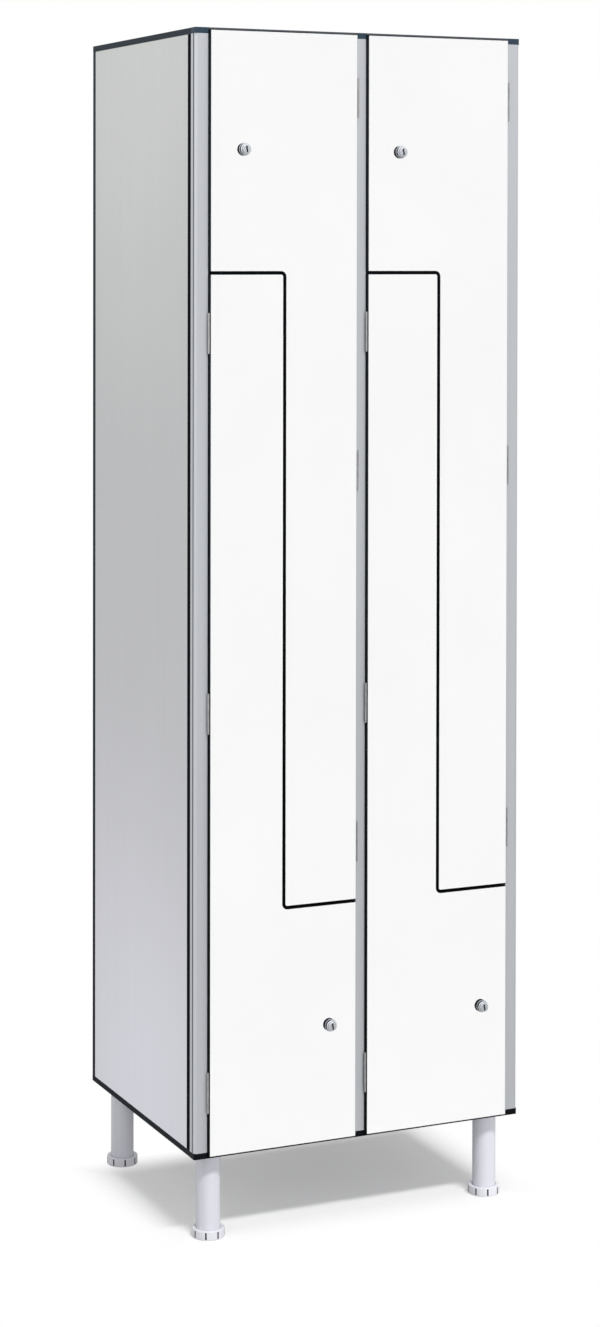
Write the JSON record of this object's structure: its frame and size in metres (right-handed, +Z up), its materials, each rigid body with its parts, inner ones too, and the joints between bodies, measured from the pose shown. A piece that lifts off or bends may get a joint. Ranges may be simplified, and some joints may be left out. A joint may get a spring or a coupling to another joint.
{
  "type": "z locker",
  "caption": "Tall changing-room locker on legs, its columns each closed by two interlocking L-shaped doors with cam locks.",
  "frame": {"origin": "on the floor, in the middle of the whole object's box", "axes": "+X to the right as the front is seen, the doors face -Y, +Z up"},
  "size_m": [0.6, 0.503, 1.992],
  "materials": {
    "white_laminate": "satin white laminate face on a black core",
    "grey_laminate": "satin pale grey laminate face on a black core",
    "carcass_laminate": "satin pale grey laminate face on a black core",
    "anodised_aluminium": "satin anodised",
    "black_plastic": "moulded black",
    "black_rubber": "matt black",
    "leg_plastic": "smooth pale grey moulding",
    "foot_plastic": "smooth pale grey moulding",
    "socket_plastic": "moulded grey",
    "polished_chrome": "polished chrome plate",
    "zinc_plated_steel": "zinc plated",
    "stainless_steel": "satin stainless"
  },
  "bodies": {
    "carcass": {"back_panel": "carcass_laminate", "bottom_panel": "carcass_laminate", "centre_post": "anodised_aluminium", "coat_hooks": "stainless_steel", "hinge_pins": "stainless_steel", "left_divider": "carcass_laminate", "left_lower_shelf": "carcass_laminate", "left_post": "anodised_aluminium", "left_side_panel": "grey_laminate", "left_upper_shelf": "carcass_laminate", "leg_mounts": "leg_plastic", "leg_screws": "stainless_steel", "leg_sockets": "socket_plastic", "leg_tubes": "leg_plastic", "lock_keepers": "zinc_plated_steel", "panel_screws": "stainless_steel", "partition": "carcass_laminate", "post_caps": "black_plastic", "post_hinge_leaves": "stainless_steel", "post_hinge_screws": "stainless_steel", "post_seals": "black_rubber", "right_divider": "carcass_laminate", "right_lower_shelf": "carcass_laminate", "right_post": "anodised_aluminium", "right_side_panel": "grey_laminate", "right_upper_shelf": "carcass_laminate", "small_screws": "stainless_steel", "top_panel": "carcass_laminate"},
    "left_upper_door": {"left_upper_door": "white_laminate", "left_upper_door_hinge_leaves": "stainless_steel", "left_upper_door_screws": "stainless_steel", "left_upper_lock_housing": "polished_chrome", "left_upper_lock_nut": "zinc_plated_steel"},
    "left_upper_lock": {"left_upper_lock_cylinder": "polished_chrome", "left_upper_lock_cam": "zinc_plated_steel"},
    "left_lower_door": {"left_lower_door": "white_laminate", "left_lower_door_hinge_leaves": "stainless_steel", "left_lower_door_screws": "stainless_steel", "left_lower_lock_housing": "polished_chrome", "left_lower_lock_nut": "zinc_plated_steel"},
    "left_lower_lock": {"left_lower_lock_cylinder": "polished_chrome", "left_lower_lock_cam": "zinc_plated_steel"},
    "right_upper_door": {"right_upper_door": "white_laminate", "right_upper_door_hinge_leaves": "stainless_steel", "right_upper_door_screws": "stainless_steel", "right_upper_lock_housing": "polished_chrome", "right_upper_lock_nut": "zinc_plated_steel"},
    "right_upper_lock": {"right_upper_lock_cylinder": "polished_chrome", "right_upper_lock_cam": "zinc_plated_steel"},
    "right_lower_door": {"right_lower_door": "white_laminate", "right_lower_door_hinge_leaves": "stainless_steel", "right_lower_door_screws": "stainless_steel", "right_lower_lock_housing": "polished_chrome", "right_lower_lock_nut": "zinc_plated_steel"},
    "right_lower_lock": {"right_lower_lock_cylinder": "polished_chrome", "right_lower_lock_cam": "zinc_plated_steel"},
    "front_left_foot": {"front_left_foot": "foot_plastic"},
    "front_right_foot": {"front_right_foot": "foot_plastic"},
    "back_left_foot": {"back_left_foot": "foot_plastic"},
    "back_right_foot": {"back_right_foot": "foot_plastic"}
  },
  "joints": [
    {"name": "left_upper_door_swing", "type": "hinge", "parent": "carcass", "child": "left_upper_door", "pos_m": [-0.00825, -0.2321, 1.067], "axis": [0, 0, 1], "range_deg": [0, 90]},
    {"name": "left_upper_lock_turn", "type": "hinge", "parent": "left_upper_door", "child": "left_upper_lock", "pos_m": [-0.2178, -0.2345, 1.794], "axis": [0, -1, 0], "range_deg": [0, 90]},
    {"name": "left_lower_door_swing", "type": "hinge", "parent": "carcass", "child": "left_lower_door", "pos_m": [-0.277, -0.2321, 1.067], "axis": [0, 0, -1], "range_deg": [0, 110]},
    {"name": "left_lower_lock_turn", "type": "hinge", "parent": "left_lower_door", "child": "left_lower_lock", "pos_m": [-0.06045, -0.2345, 0.34], "axis": [0, -1, 0], "range_deg": [0, 90]},
    {"name": "right_upper_door_swing", "type": "hinge", "parent": "carcass", "child": "right_upper_door", "pos_m": [0.277, -0.2321, 1.067], "axis": [0, 0, 1], "range_deg": [0, 110]},
    {"name": "right_upper_lock_turn", "type": "hinge", "parent": "right_upper_door", "child": "right_upper_lock", "pos_m": [0.06745, -0.2345, 1.794], "axis": [0, -1, 0], "range_deg": [0, 90]},
    {"name": "right_lower_door_swing", "type": "hinge", "parent": "carcass", "child": "right_lower_door", "pos_m": [0.00825, -0.2321, 1.067], "axis": [0, 0, -1], "range_deg": [0, 90]},
    {"name": "right_lower_lock_turn", "type": "hinge", "parent": "right_lower_door", "child": "right_lower_lock", "pos_m": [0.2248, -0.2345, 0.34], "axis": [0, -1, 0], "range_deg": [0, 90]},
    {"name": "front_left_foot_height", "type": "slide", "parent": "carcass", "child": "front_left_foot", "axis": [0, 0, -1], "range_m": [0, 0.02]},
    {"name": "front_right_foot_height", "type": "slide", "parent": "carcass", "child": "front_right_foot", "axis": [0, 0, -1], "range_m": [0, 0.02]},
    {"name": "back_left_foot_height", "type": "slide", "parent": "carcass", "child": "back_left_foot", "axis": [0, 0, -1], "range_m": [0, 0.02]},
    {"name": "back_right_foot_height", "type": "slide", "parent": "carcass", "child": "back_right_foot", "axis": [0, 0, -1], "range_m": [0, 0.02]}
  ]
}
